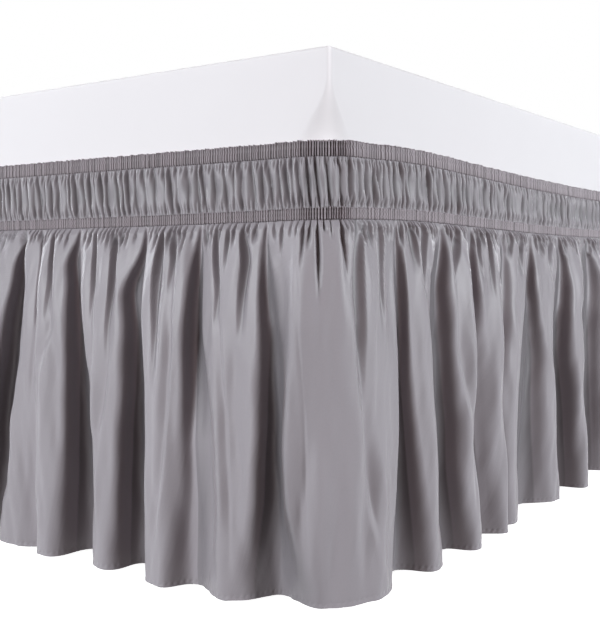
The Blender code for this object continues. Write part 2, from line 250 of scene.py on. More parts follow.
# A lesser gap's deepest cut, also as a share of its width, and how much further it goes on as a soft hollow
LESSER_CUT = 0.0115
MOST_STEEPNESS = 1.25
TAIL = 1.25
# A gap counts as a crevice, with painted shade, below a share of the crests' reach, less on the flank in shade
PAINTED_SHADE_BELOW = 0.62
FAR_PAINTED_SHADE_BELOW = 0.12
# The share of its painted shade that a gap loses towards the hem
HEM_PAINTED_SHADE_LOSS = 0.4
# How far apart the lesser gaps are on the hidden sides
HIDDEN_LESSER_PITCH = 0.024
# Small gathers fill the spaces between all those gaps, close under the band
GATHER_PITCH = 0.0052
# Everything starts at this station, just before the first one that the photo shows
FIRST_SHOWN = -0.470

# Lines that show where the cloth turns a little, down to the hem: width and cut in mm, and the line's station
# in mm at these depths. The dip lies on the line's side away from the corner.
LINE_DEPTHS = (0.010, 0.030, 0.060, 0.100, 0.150, 0.200, 0.250, 0.337)
LINES = (
    (20, 3.2, -330, -326, -320, -318, -332, -343, -346, -350),
    (22, 3.2, -238, -236, -233, -232, -238, -248, -254, -258),
    (16, 2.4, -271, -266, -262, -259, -259, -262, -259, -257),
    (15, 3.0, -163, -158, -155, -155, -159, -163, -168, -183),
    (14, 2.2, -114, -110, -105, -100, -96, -94, -92, -90),
    (6, 0.7, -28, -25, -22, -22, -19, -17, -16, -12),
    (26, 4.6, 31, 23, 20, 20, 25, 34, 44, 62),
    (22, 3.0, 224, 209, 200, 200, 211, 224, 236, 246),
)

# Depths over which the cloth's shape changes: where each change starts, and how long it is
FLANKS_WIDEN = (0.0, 0.07)
FLANKS_WIDEN_AGAIN = (0.2, 0.13)
FLANKS_EVEN_OUT = (0.20, 0.12)
UNDER_BED = (SINK_START, 0.03)
# The next one is where the painted shade in the gaps comes in, under the band
PAINTED_SHADE_COMES = (0.004, 0.02)
LINES_COME = (0.0, 0.05)
LINES_FADE = (0.24, 0.09)
SWELL_COMES = (0.0, 0.06)
SWELL_FADES = (0.26, 0.07)
CRUMPLE_COMES = (0.0, 0.02)
# A flank's share of a hidden half fold at the band, and what each widening adds to it
FLANK_SHARES = (0.10, 0.52, 0.24)
# How far the cloth swells, crumples, puckers along its hem and hangs unevenly
SWELL = 0.0012
CRUMPLE = 0.00026
PUCKER = 0.0005
PUCKER_PITCH = 0.0060
HEM_WAVE = 0.0012

# How the sheet is meshed: distances between its columns where the folds are followed closely, just before them
# and elsewhere, the cloth in a fold's flanks, and the number of rows above the hem
FINE_STEP = 0.00119
EDGE_STEP = 1.6 * FINE_STEP
PLAIN_STEP = 0.0078
FLANK_LENGTH = 0.018
ROW_COUNT = 76
DROP_THICKNESS = 0.0006
# The hem is turned up. Its rows are shares of its width from above, and its stitching is one from below.
HEM_WIDTH = 0.0075
HEM_ROWS = (0.25, 0.40, 0.47, 0.54, 0.70, 0.90, 1.0)
STITCHING = 0.53
# The top edge tucks up behind the lower band
TUCK = 0.0010
TUCK_DEPTH = 0.0008


def place_on_walls(stations, radius, reach):
    """Plan points at stations along the walls, with the bed's corners rounded to a radius. On a rounded
    corner the stations are spread evenly over its arc."""
    lengths = np.array(WALL_LENGTHS)
    starts = np.concatenate(([0.0], np.cumsum(lengths)[:-1]))
    corners = np.array([[1, -1], [1, 1], [-1, 1], [-1, -1]]) * (HALF_WIDTH, HALF_LENGTH)
    alongs = np.array([[0, 1], [-1, 0], [0, -1], [1, 0]])
    outs = np.array([[1, 0], [0, 1], [-1, 0], [0, -1]])
    stations = np.asarray(stations) % PERIMETER
    wall = np.searchsorted(starts, stations, side="right") - 1
    here, length = stations - starts[wall], lengths[wall]
    along, out = alongs[wall], outs[wall]
    first = np.clip(1 - here / radius, 0, None)
    last = np.clip(1 - (length - here) / radius, 0, None)
    turn = math.radians(45) * (last - first)
    flat = np.clip(here, radius, length - radius)
    centre = corners[wall] + along * flat[:, None] - out * radius
    direction = out * np.cos(turn)[:, None] + along * np.sin(turn)[:, None]
    return centre + direction * (radius + np.asarray(reach))[..., None]


def band_lift(stations, column):
    wrapped = (np.asarray(stations) + PERIMETER / 2) % PERIMETER - PERIMETER / 2
    return np.interp(wrapped, BAND_LIFTS[:, 0], BAND_LIFTS[:, column])


def smoothstep(share):
    share = np.clip(share, 0, 1)
    return share * share * (3 - 2 * share)


def change(depth, depths):
    """From 0 to 1, smoothly, over a change's start and length."""
    return smoothstep((depth - depths[0]) / depths[1])


def ripples(seed, count, length, drop):
    """A smooth, even-handed field over the cloth, from sines of chance lengths that close round the bed."""
    chance = random.Random(seed)
    waves = [
        (
            round(PERIMETER / length * chance.uniform(0.5, 1.6)) * 2 * math.pi / PERIMETER,
            chance.uniform(-1.0, 1.0) * 2 * math.pi / drop,
            chance.uniform(0, 2 * math.pi),
        )
        for _ in range(count)
    ]

    def field(stations, depth):
        total = sum(np.sin(across * stations + down * depth + phase) for across, down, phase in waves)
        return total / math.sqrt(count / 2)

    return field


# A flank is a curve whose heading swings out to a steepness and back, and ends with the slope of the crown that
# it meets. Its lateness says where it is steepest: 1 in its middle, and more nearer its crest.
SWINGS = np.linspace(0.0, 2.0, 81)[:, None]
SWING_STEPS = (np.arange(48) + 0.5) / 48
CROWN_STEPS = (np.arange(16) + 0.5) / 16


def half_fold(width, rise, flank, lateness):
    """Half a fold, from its valley: flat distances, stations and reaches along it, from 0, 0 and 0."""
    top = width - flank
    crown = min(CROWN, 2 * MOST_DROOP / top, rise / top)
    shape = np.sin(math.pi * SWING_STEPS**lateness)
    headings = SWINGS * shape + crown * SWING_STEPS
    depth_for_width = np.sin(headings).sum(axis=1) / np.cos(headings).sum(axis=1)
    swing = np.interp((rise - crown * top / 2) / flank, depth_for_width, SWINGS[:, 0])
    steep = swing * shape + crown * SWING_STEPS
    gentle = crown * (1 - CROWN_STEPS)
    length = flank / np.cos(steep).mean()
    pieces = np.concatenate((np.full(len(steep), length / len(steep)), np.full(len(gentle), top / len(gentle))))
    heading = np.concatenate((steep, gentle))
    flat, along, out = (
        np.concatenate(([0.0], np.cumsum(pieces * step))) for step in (1.0, np.cos(heading), np.sin(heading))
    )
    return flat, along * width / along[-1], out * rise / out[-1]


def fold_curve(stations, reaches, counts, flanks, lateness):
    """Points along a run of half folds between turns at these stations and reaches: their stations, reaches and
    flat distances, and the whole flat distance. A flank is the width that a half fold's steep part takes."""
    start = 0.0
    along, out, distance = [], [], []
    for number, count in enumerate(counts):
        width, rise = stations[number + 1] - stations[number], reaches[number + 1] - reaches[number]
        flat, across, risen = half_fold(width, abs(rise), flanks[number], lateness[number])
        wanted = flat[-1] * np.arange(count) / count
        if rise > 0:
            along.append(stations[number] + np.interp(wanted, flat, across))
            out.append(reaches[number] + np.interp(wanted, flat, risen))
        else:
            along.append(stations[number + 1] - np.interp(flat[-1] - wanted, flat, across))
            out.append(reaches[number + 1] + np.interp(flat[-1] - wanted, flat, risen))
        distance.append(start + wanted)
        start += flat[-1]
    return np.concatenate(along), np.concatenate(out), np.concatenate(distance), start


EASING = 0.007


def eased(depth, depths, values):
    """A value listed by depth, read between its listed depths and rounded off there."""
    return sum(np.interp(depth + step, depths, values) for step in (-EASING, 0.0, EASING)) / 3


def hidden_folds():
    """The main folds round the rest of the bed, as they are in the frame's own solid."""
    chance = random.Random(16)
    start, end = NEXT_VALLEY, PERIMETER + CORNER_FOLDS[0][1]
    end_slant = CORNER_FOLDS[0][0] - CORNER_FOLDS[0][1]
    widths = [chance.uniform(0.78, 1.22) for _ in range(HIDDEN_FOLD_COUNT)]
    folds = []
    valley = start
    for width in widths:
        width *= (end - start) / sum(widths)
        crest = valley + width * chance.uniform(0.42, 0.58)
        at_start = max(0.0, 1 - (valley - start) / SLANT_EASING)
        at_end = max(0.0, 1 - (end - valley) / SLANT_EASING)
        slant = NEXT_SLANT * at_start + end_slant * at_end
        slant += chance.uniform(-SLANT, SLANT) * (1 - at_start) * (1 - at_end)
        inward = -chance.uniform(0.006, 0.016)
        out = chance.uniform(0.018, 0.030)
        folds.append([valley + slant, valley, inward, crest + slant * 0.9, crest, out])
        valley += width
    wall_start = 0.0
    for length in WALL_LENGTHS:
        nearest = min(folds, key=lambda fold: abs(fold[4] - wall_start - length / 2))
        nearest[5] = MOST_REACH
        wall_start += length
    return folds


def lesser_gaps():
    """The listed lesser gaps and, past them, others by chance, in the same form."""
    chance = random.Random(5)
    rows = list(LESSER_GAPS)
    taken = [0.5 * (row[2] + row[3]) for row in LESSER_GAPS] + [1000 * fold[0] for fold in CORNER_FOLDS]
    station = FIRST_SHOWN
    while station < NEXT_VALLEY:
        wide = chance.uniform(4, 6.5)
        left, lean = 1000 * station - wide / 2, chance.uniform(-3, 5)
        if np.abs(np.array(taken) - 1000 * station).min() > 4.2:
            ends, strength = chance.uniform(9, 24), chance.uniform(0.7, 1.1)
            rows.append((ends, strength, left, left + wide, left + lean, left + lean + wide))
        station += GATHER_PITCH * chance.uniform(0.75, 1.25)
    station = NEXT_VALLEY
    while station < PERIMETER + FIRST_SHOWN:
        long = chance.random() < 0.6
        wide = chance.uniform(5, 10) if long else chance.uniform(4, 6)
        left, lean = 1000 * station, chance.uniform(-6, 6)
        ends = chance.uniform(40, 130) if long else chance.uniform(14, 26)
        row = [ends, chance.uniform(0.5, 1.0)]
        for share in (0.0, 0.2, 0.5, 0.8, 1.0) if long else (0.0, 0.4):
            row += [left + lean * share, left + lean * share + wide]
        rows.append(tuple(row))
        station += HIDDEN_LESSER_PITCH * chance.uniform(0.35, 1.2)
    return rows


def dip(share):
    """A rounded dip between its edges at shares 0 and 1, steeper at the first one."""
    return np.sin(math.pi * np.clip((share + 0.08) / 1.3, 0, 1) ** 0.62) ** 2


class Drop:
    """The gathered drop as a grid of points: rows from the band down to the hem, and columns round the bed."""

    def __init__(self):
        turns = []
        for valley_band, valley_hem, inward, crest_band, crest_hem, out in [*CORNER_FOLDS, *hidden_folds()]:
            turns += [(valley_band, valley_hem, inward, 0), (crest_band, crest_hem, out, 1)]
        first = turns[0]
        turns.append((first[0] + PERIMETER, first[1] + PERIMETER, first[2], first[3]))
        self.at_band, self.at_hem, self.reach_at_hem, self.is_crest = np.array(turns).T
        self.fine_turns = 2 * len(CORNER_FOLDS)
        # The flanks that turn from the corner are late: after a valley on the foot wall, before it on the other
        self.late = np.zeros(len(turns) - 1)
        self.late[: self.fine_turns - 1] = EARLY
        for number in range(0, self.fine_turns, 2):
            self.late[number if self.at_band[number] < 0 else number - 1] = 1
        self.late[CORNER_FLANK] = 0
        widths = 0.5 * (np.diff(self.at_band) + np.diff(self.at_hem)) + FLANK_LENGTH
        steps = np.where(np.arange(len(widths)) < self.fine_turns, FINE_STEP, PLAIN_STEP)
        steps[-3:] = EDGE_STEP
        self.counts = np.maximum(8, np.round(widths / steps)).astype(int)
        self.lesser = lesser_gaps()
        self.swell = ripples(seed=22, count=14, length=0.050, drop=0.30)
        self.crumple = ripples(seed=23, count=16, length=0.019, drop=0.06)
        self.level = ripples(seed=24, count=8, length=0.30, drop=1.0)
        # The rows stand closest under the band, where the gathers are
        cloth = DROP_HEIGHT - HEM_WIDTH
        steps = np.linspace(0, 1, ROW_COUNT)
        hem = cloth + HEM_WIDTH * np.array(HEM_ROWS)
        self.depths = np.concatenate((cloth * (0.28 * steps + 0.72 * steps**2.5), hem))

    def sink(self, depth):
        """How far the valleys have gone in under the bed at a depth below the band, from 0 to 1."""
        return max(0.0, depth - SINK_START) / (DROP_HEIGHT - SINK_START)

    def folds_at(self, depth):
        """The folds at a depth below the band: stations and reaches of their turns, and widths of flanks."""
        share = smoothstep(depth / DROP_HEIGHT)
        stations = self.at_band + (self.at_hem - self.at_band) * share
        shoulder = 1 - (1 - min(depth / CREST_GROWTH, 1)) ** CREST_ROUNDNESS
        start = np.interp(depth, *CREST_STARTS)
        crest = start + (self.reach_at_hem - start) * shoulder
        valley = VALLEY_START + (self.reach_at_hem - VALLEY_START) * self.sink(depth)
        reaches = np.where(self.is_crest > 0, crest, valley)

        # Past the listed openings, a flank takes a share of its half fold that grows with depth
        width = np.diff(stations)
        at_band, more, at_last = FLANK_SHARES
        share = at_band + more * change(depth, FLANKS_WIDEN)
        flanks = width * (share + at_last * change(depth, FLANKS_WIDEN_AGAIN))
        edges = [[eased(depth, OPENING_DEPTHS, row[side::2]) for row in CORNER_OPENINGS] for side in (0, 1)]
        left, right = 0.001 * np.array(edges)
        least = np.minimum(LEAST_FLANK, LEAST_FLANK_SHARE * (right - left))
        count = len(CORNER_FOLDS)
        valleys, crests = np.arange(0, 2 * count, 2), np.arange(1, 2 * count, 2)
        near = np.array([np.interp(depth, VALLEY_DEPTHS, row) for row in CORNER_VALLEYS])
        near = np.where(left < 0, left + near * (right - left), right - near * (right - left))
        stations[valleys] = np.clip(near, left + least, right - least)
        next_left = np.append(left[1:], stations[2 * count] - 0.012)
        stations[crests] = np.clip(stations[crests], right + LEAST_CREST, next_left - LEAST_CREST)
        stations[-1] = stations[0] + PERIMETER
        flanks[valleys] = right - stations[valleys]
        flanks[valleys[1:] - 1] = stations[valleys[1:]] - left[1:]
        flanks[-1] = stations[0] - left[0]
        flanks = np.minimum(flanks, 0.92 * np.diff(stations))
        fills = [CORNER_FILLS.get(number, NO_FILL) for number in range(count)]
        fills = np.array([np.interp(depth, FILL_DEPTHS, (0.0, *row)) for row in fills])
        beside = 0.5 * (reaches[crests] + np.roll(reaches[crests], 1))
        reaches[valleys] += fills * (beside - reaches[valleys])
        reaches[-1] = reaches[0]
        return stations, reaches, flanks

    def outline(self, depth):
        """The cloth at a depth below the band: plan points, stations, flat distances and their whole length, and
        the painted shade at each point, from 0 to 1, by how far it is down in a gap."""
        stations, reaches, flanks = self.folds_at(depth)
        late = np.where(self.late > 0, self.late * flanks / LATE_FLANK, self.late)
        lateness = 1 + late * (1 - change(depth, FLANKS_EVEN_OUT))
        along, out, flat, loop = fold_curve(stations, reaches, self.counts, flanks, lateness)
        radius = CORNER_RADIUS + (HEM_CORNER_RADIUS - CORNER_RADIUS) * self.sink(depth)
        wave = place_on_walls(along, radius, out)
        way = np.roll(wave, -1, axis=0) - np.roll(wave, 1, axis=0)
        way /= np.linalg.norm(way, axis=1)[:, None]
        outward = np.stack((way[:, 1], -way[:, 0]), axis=1)
        onward = np.maximum.accumulate(along)

        def flat_at(wanted):
            return np.interp((wanted - onward[0]) % PERIMETER + onward[0], onward, flat)

        def between(left, right):
            """Each point's share of the way along the cloth between two stations, and that way's length."""
            start = flat_at(left)
            width = max((flat_at(right) - start) % loop, 0.002)
            return ((flat - start + loop / 2) % loop - loop / 2) / width, width

        cut, painted_shading = np.zeros(len(along)), np.zeros(len(along))
        for ends, strength, *edges in self.lesser:
            share = depth / (0.001 * ends * TAIL)
            if share < 1:
                edges = 0.001 * np.array(edges).reshape(-1, 2)
                left = eased(depth, LESSER_DEPTHS[: len(edges)], edges[:, 0])
                right = eased(depth, LESSER_DEPTHS[: len(edges)], edges[:, 1])
                close = 0.5 * (right - left) * (1 - smoothstep(depth / 0.012)) * 0.55
                across, width = between(left + close, right - close)
                across = across if left < 0 else 1 - across
                fade = (1 - share**1.6) ** 1.5
                cut += min(LESSER_CUT * strength, MOST_STEEPNESS * width) * fade * dip(across)
                # Painted shade down the middle of each lesser gap, fading where the gap closes
                painted_shading += min(1.0, 2.0 * fade) * np.exp(-(((across - 0.46) / 0.30) ** 2))
        for width, deep, *stations in LINES:
            line = 0.001 * eased(depth, LINE_DEPTHS, stations)
            far = line + math.copysign(0.001 * width, line)
            share, _ = between(min(line, far), max(line, far))
            share = share if line > 0 else 1 - share
            deep *= 0.001 * change(depth, LINES_COME) * (1 - change(depth, LINES_FADE))
            cut += deep * smoothstep(share / 0.35) * smoothstep((1 - share) / 0.65)
        # A cut stays outside the bed's side, and has room again once the cloth is past it
        room = np.maximum(out - VALLEY_START, 0.0) + 0.03 * change(depth, UNDER_BED)
        cut = room * np.tanh(cut / np.maximum(room, 1e-5))
        # Painted shade on the floors of the main gaps, and on their flanks below a share of the crests' reach
        painted_shade_below = np.repeat(np.where(self.late < 0, FAR_PAINTED_SHADE_BELOW, PAINTED_SHADE_BELOW), self.counts)
        painted_hollow_shade = smoothstep(1 - out / (painted_shade_below * float(np.median(reaches[1::2]))))
        painted_hollow_shade *= change(depth, PAINTED_SHADE_COMES) * (1 - HEM_PAINTED_SHADE_LOSS * change(depth, LINES_FADE))
        painted_shading = np.maximum(painted_shading, painted_hollow_shade)
        swell = SWELL * change(depth, SWELL_COMES) * (1 - 0.7 * change(depth, SWELL_FADES))
        swell = swell * self.swell(along, depth)
        out = out - cut + swell * np.clip(out / 0.010, 0, 1)
        cut = -CRUMPLE * change(depth, CRUMPLE_COMES) * self.crumple(along, depth)
        pucker = 0.5 + 0.5 * np.sin(2 * math.pi * flat * round(loop / PUCKER_PITCH) / loop)
        off_stitching = (depth - DROP_HEIGHT + 0.55 * HEM_WIDTH) / (0.25 * HEM_WIDTH)
        cut += PUCKER * pucker * math.exp(-(off_stitching**2))
        plan = place_on_walls(along, radius, out) - outward * cut[:, None]
        return plan, along, flat, loop, np.minimum(painted_shading, 1.0)

    def grid(self):
        """Points, flat coordinates for the textures and painted shade in crevices, in rows and columns."""
        points, flats, painted_shades = [], [], []
        for depth in self.depths:
            plan, along, flat, loop, painted_shading = self.outline(depth)
            share = depth / DROP_HEIGHT
            height = DROP_TOP - depth + band_lift(along, LOWER) * (1 - share)
            height = height + HEM_WAVE * share * self.level(along, 0)
            height = height + TUCK * max(0.0, 1 - depth / TUCK_DEPTH)
            points.append(np.column_stack((plan, np.maximum(height, HEM))))
            flats.append(np.column_stack((flat, np.full(len(flat), DROP_TOP - depth))))
            painted_shades.append(painted_shading)
        return np.array(points), np.array(flats), np.array(painted_shades)


# --- Meshes ---


def grid_normals(points):
    """Outward normals of a grid that closes round the bed, its rows running down."""
    along = np.roll(points, -1, axis=1) - np.roll(points, 1, axis=1)
    down = np.gradient(points, axis=0)
    normal = np.cross(down, along)
    return normal / np.linalg.norm(normal, axis=2)[..., None]


def dress(piece, look, painted_shading):
    """Give a piece its look, and a painted shading for each point: painted shade by how far down in a crevice it
    is, or on the cover painted light by how near a corner it is."""
    layer = piece.data.attributes.new("painted_shading", "FLOAT", "POINT")
    layer.data.foreach_set("value", np.asarray(painted_shading, dtype=np.float32).ravel())
    piece.data.materials.append(look)


def add_object(name, data):
    made = bpy.data.objects.new(name, data)
    bpy.context.scene.collection.objects.link(made)
    return made


def mesh_object(name, points, faces, normals=None, flats=None):
    mesh = bpy.data.meshes.new(name)
    mesh.from_pydata(points.tolist(), [], faces.tolist())
    mesh.shade_smooth()
    if flats is not None:
        layer = mesh.uv_layers.new(name="cloth")
        corner = np.empty(len(mesh.loops), dtype=np.int32)
        mesh.loops.foreach_get("vertex_index", corner)
        layer.data.foreach_set("uv", flats[corner].astype(np.float32).ravel())
    if normals is not None:
        mesh.normals_split_custom_set_from_vertices(normals.tolist())
    return add_object(name, mesh)


def strip_faces(rows, columns, base=0, flip=False):
    """Quads of an open grid, numbered from a base."""
    a = (np.arange(rows - 1)[:, None] * columns + np.arange(columns - 1)[None, :]).ravel() + base
    quads = np.column_stack((a, a + columns, a + columns + 1, a + 1))
    return quads[:, ::-1] if flip else quads


def cloth_piece(name, points, normals, flats, thickness):
    """A closed thin sheet from part of a grid: a front, a back and the rims between them."""
    rows, columns = points.shape[:2]
    count = rows * columns
    half = (thickness / 2)[:, None, None]
    front, back = points + normals * half, points - normals * half
    faces = [strip_faces(rows, columns), strip_faces(rows, columns, count, flip=True)]
    index = np.arange(count).reshape(rows, columns)
    rim = np.concatenate((index[0, :-1], index[:-1, -1], index[-1, :0:-1], index[:0:-1, 0]))
    after = np.roll(rim, -1)
    faces.append(np.column_stack((rim, after, after + count, rim + count)))
    return mesh_object(
        name,
        np.concatenate((front.reshape(-1, 3), back.reshape(-1, 3))),
        np.concatenate(faces),
        np.concatenate((normals.reshape(-1, 3), -normals.reshape(-1, 3))),
        np.concatenate((flats.reshape(-1, 2), flats.reshape(-1, 2))),
    )


def ring_object(name, points, flats):
    """A ring that closes both round the bed and round its section, from a grid of section points."""
    rows, columns = points.shape[:2]
    index = np.arange(rows * columns).reshape(rows, columns)
    right, below = np.roll(index, -1, axis=1), np.roll(index, -1, axis=0)
    corner = np.roll(below, -1, axis=1)
    faces = np.stack((index, below, corner, right), axis=2).reshape(-1, 4)
    return mesh_object(name, points.reshape(-1, 3), faces, None, flats.reshape(-1, 2))


# --- The pieces ---


# The main folds at whose valleys the sheet is parted
LEFT_FOLD, RIGHT_FOLD = 4, 8


def make_drop(look):
    drop = Drop()
    points, flats, painted_shades = drop.grid()
    rows, columns = points.shape[:2]
    first_plain = drop.counts[: drop.fine_turns].sum()
    # The plain pieces leave out every other row above the hem, so it lies halfway between others at the seams
    last_rows = rows - len(HEM_ROWS) - 1
    odd = np.arange(1, last_rows, 2)
    for seam in (0, first_plain):
        points[odd, seam] = 0.5 * (points[odd - 1, seam] + points[odd + 1, seam])
    normals = grid_normals(points)
    # The turned hem is twice as thick, but for its row of stitching
    above_hem = (DROP_HEIGHT - drop.depths) / HEM_WIDTH
    thickness = np.where(above_hem < STITCHING + 0.03, 2 * DROP_THICKNESS, DROP_THICKNESS)
    thickness[np.abs(above_hem - STITCHING) < 0.03] = DROP_THICKNESS
    every = np.arange(rows)
    sparse = np.concatenate((np.arange(0, last_rows, 2), np.arange(last_rows, rows)))
    ends = np.cumsum(np.concatenate(([0], drop.counts)))
    fine_left, fine_right = ends[2 * LEFT_FOLD], ends[2 * RIGHT_FOLD]
    plain_middle = ends[drop.fine_turns + (len(drop.counts) - drop.fine_turns) // 4 * 2]
    for name, first, last, taken in (
        ("drop_foot_end", 0, fine_left, every),
        ("drop_corner", fine_left, fine_right, every),
        ("drop_right_end", fine_right, first_plain, every),
        ("drop_far_side", first_plain, plain_middle, sparse),
        ("drop_near_side", plain_middle, columns, sparse),
    ):
        take = np.ix_(taken, np.arange(first, last + 1) % columns)
        uv = flats[take].copy()
        if last == columns:
            uv[:, -1, 0] = 2 * uv[:, -2, 0] - uv[:, -3, 0]
        piece = cloth_piece(name, points[take], normals[take], uv, thickness[taken])
        dress(piece, look, np.stack((painted_shades[take], painted_shades[take])))
        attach(piece, "root")
        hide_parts("skirt_drop")


# Distances between the puffs and between the pleats, by station
PUFF_PITCHES = ((-0.10, 0.0100), (0.03, 0.0094), (0.60, 0.0180), (0.90, 0.0110))
PLEAT_PITCHES = ((0.03, 0.0040), (0.60, 0.0080), (0.90, 0.0050))
PUFF_SWELL = 0.0054
PUFF_GAP = 0.0080
PUFF_LEAN = 0.0050
PLEAT_GAP = 0.0042
PLEAT_HEIGHT = 0.30
HEADING_REACH = 0.0034
LEAST_HEADING_REACH = 0.0012
HEADING_OVERLAP = 0.0004
HEADING_ROWS = 20
HEADING_STEP = 0.00066
PLAIN_HEADING_STEP = 0.00225


def chance_gaps(chance, pitches, least, most):
    """Places of gaps round the bed, at about the pitches that are listed by station."""
    gaps, station = [], FIRST_SHOWN
    while station < PERIMETER + FIRST_SHOWN - 0.6 * pitches[-1][1]:
        gaps.append(station)
        station += np.interp(station, *np.transpose(pitches)) * chance.uniform(least, most)
    return np.array(gaps)


def nearest_gaps(stations, gaps):
    """The numbers of the gaps before and after each station, and its share of the way between them."""
    shifted = (stations - gaps[0]) % PERIMETER + gaps[0]
    after = np.searchsorted(gaps, shifted, side="right")
    closed = np.append(gaps, gaps[0] + PERIMETER)
    share = (shifted - closed[after - 1]) / (closed[after] - closed[after - 1])
    return after - 1, after % len(gaps), share


def make_heading(look):
    """The puffed strip between the two bands: rounded tubes with narrow gaps between them, which lean and wander
    and are not all equally deep, and finer pleats where it goes into each band."""
    chance = random.Random(31)
    gaps = chance_gaps(chance, PUFF_PITCHES, 0.60, 1.40)
    pleats = chance_gaps(chance, PLEAT_PITCHES, 0.65, 1.35)
    count = len(gaps)
    lean, bow, wave = (np.array([chance.uniform(-1, 1) for _ in range(count)]) for _ in range(3))
    lean, bow, wave = 1.5 * lean, 1.3 * bow, 1.3 * wave
    deep_top, deep_middle, deep_low = (
        np.array([chance.choice((0.70, 0.90, 1.0, 1.15)) for _ in range(count)]) for _ in range(3)
    )
    fine = np.arange(FIRST_SHOWN, NEXT_VALLEY, HEADING_STEP)
    plain = np.arange(NEXT_VALLEY, PERIMETER + FIRST_SHOWN - 0.0003, PLAIN_HEADING_STEP)
    stations = np.concatenate((fine, plain))
    top, bottom = UPPER_BAND_BOTTOM + HEADING_OVERLAP, LOWER_BAND_TOP - HEADING_OVERLAP
    swell_field = ripples(seed=32, count=9, length=0.020, drop=0.06)
    points, painted_shades = [], []
    steps = np.linspace(0, 1, HEADING_ROWS)
    shares = 0.5 - 0.5 * np.sign(np.cos(math.pi * steps)) * np.abs(np.cos(math.pi * steps)) ** 0.8
    for share in shares:
        bulge = math.sin(math.pi * share) ** 0.5 if 0 < share < 1 else 0.0
        middle = math.sin(math.pi * share)
        shift = 0.0010 * lean * (share - 0.5) + 0.0010 * bow * middle
        shift = shift + 0.0007 * wave * math.sin(2 * math.pi * share)
        here = np.sort(gaps + PUFF_LEAN * (share - 0.5) + shift)
        before, after, along_puff = nearest_gaps(stations, here)
        top_share, low_share = max(0.0, 1 - 2 * share), max(0.0, 2 * share - 1)
        deep = deep_top * top_share + deep_middle * (1 - top_share - low_share) + deep_low * low_share
        # A gap is wide in the middle of its height, and narrow where the pleats begin
        narrow = 5.6 - 3.7 * smoothstep(middle)
        gap = deep[before] * (1 - along_puff) ** narrow + deep[after] * along_puff**narrow
        reach = HEADING_REACH + PUFF_SWELL * bulge * (1 + 0.12 * swell_field(stations, share * 0.035))
        reach = reach - (0.0010 + (PUFF_GAP - 0.0010) * bulge) * gap
        edge = max(0.0, 1 - min(share, 1 - share) / PLEAT_HEIGHT)
        nearer, further, along = nearest_gaps(stations, pleats)
        pleat = (1 - along) ** 2.6 + along**2.6
        reach = reach - PLEAT_GAP * edge * min(1.0, 12 * min(share, 1 - share)) * pleat
        reach = np.maximum(reach, LEAST_HEADING_REACH)
        # Painted shade in the gaps between the puffs and between the pleats
        painted_shades.append(1.5 * bulge * gap**2 + 1.3 * edge * pleat**2.5)
        plan = place_on_walls(stations, CORNER_RADIUS, reach)
        height = top + (bottom - top) * share
        height = height + band_lift(stations, UPPER) * (1 - share) + band_lift(stations, LOWER) * share
        points.append(np.column_stack((plan, height)))
    points = np.array(points)
    lengths = np.linalg.norm(np.roll(points, -1, axis=1) - points, axis=2)
    flat = np.concatenate(([0.0], np.cumsum(lengths[len(shares) // 2])))
    normals = grid_normals(points)
    columns = points.shape[1]
    take = np.arange(columns + 1) % columns
    uv = np.empty((len(shares), columns + 1, 2))
    uv[..., 0] = flat
    uv[..., 1] = ((1 - shares) * (top - bottom))[:, None]
    piece = mesh_object(
        "heading_puffs",
        points[:, take].reshape(-1, 3),
        strip_faces(len(shares), columns + 1),
        normals[:, take].reshape(-1, 3),
        uv.reshape(-1, 2),
    )
    dress(piece, look, np.clip(np.array(painted_shades)[:, take], 0, 1))
    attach(piece, "root")
    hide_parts("heading_ruffle")


RIB_PITCH = 0.0027
PLAIN_RIB_PITCH = 0.0054
RIB_DEPTH = 0.0027
BAND_INNER, BAND_OUTER = 0.0005, 0.0034
BAND_ROUNDING = 0.0006
STITCH_DEPTH = 0.0004
SCALLOP_HEIGHT = 0.0020


